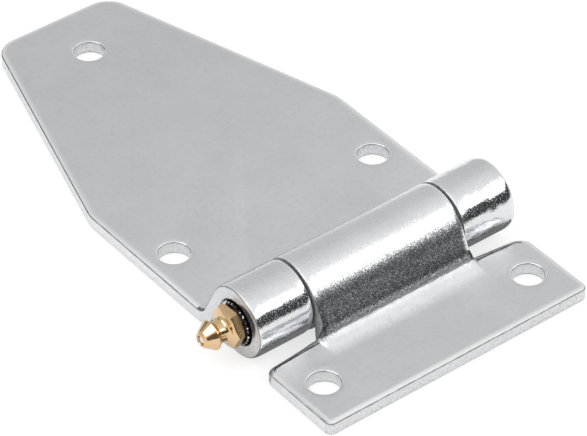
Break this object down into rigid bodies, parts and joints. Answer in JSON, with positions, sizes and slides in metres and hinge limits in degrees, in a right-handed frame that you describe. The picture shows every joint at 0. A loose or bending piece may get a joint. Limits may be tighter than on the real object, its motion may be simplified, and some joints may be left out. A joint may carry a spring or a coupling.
{
  "type": "strap hinge",
  "caption": "Bolt-on strap hinge: tapered strap and short leaf of bent zinc-plated sheet steel, rolled into knuckles around a drilled pin with a brass grease nipple.",
  "frame": {"origin": "midway between the short leaf's two bolt holes, on the face that lies against the post or frame", "axes": "X along the hinge pin with the grease nipple at -X, +Y along the strap away from the short leaf, +Z away from the mounting face"},
  "size_m": [0.0697, 0.1315, 0.0155],
  "materials": {
    "zinc_strap": "bright zinc plate, satin, cool grey",
    "zinc_short": "bright zinc plate, satin, cool grey",
    "pin_steel": "turned steel, zinc-plated",
    "nipple_brass": "turned brass, bright",
    "ball_steel": "polished bearing steel",
    "spring_steel": "plain spring wire"
  },
  "bodies": {
    "fixed_leaf": {"short_leaf": "zinc_short"},
    "strap": {"strap_leaf": "zinc_strap", "hinge_pin": "pin_steel", "nipple_body": "nipple_brass", "nipple_spring": "spring_steel"},
    "check_ball": {"nipple_ball": "ball_steel"}
  },
  "joints": [
    {"name": "leaf_pivot", "type": "hinge", "parent": "fixed_leaf", "child": "strap", "pos_m": [0, 0.0186, 0.00791], "axis": [1, 0, 0], "range_deg": [-90, 195]},
    {"name": "nipple_ball_press", "type": "slide", "parent": "strap", "child": "check_ball", "axis": [1, 0, 0], "range_m": [0, 0.0006], "stiffness_N_per_m": 200, "springref_m": -0.001, "deforming": ["nipple_spring"]}
  ]
}
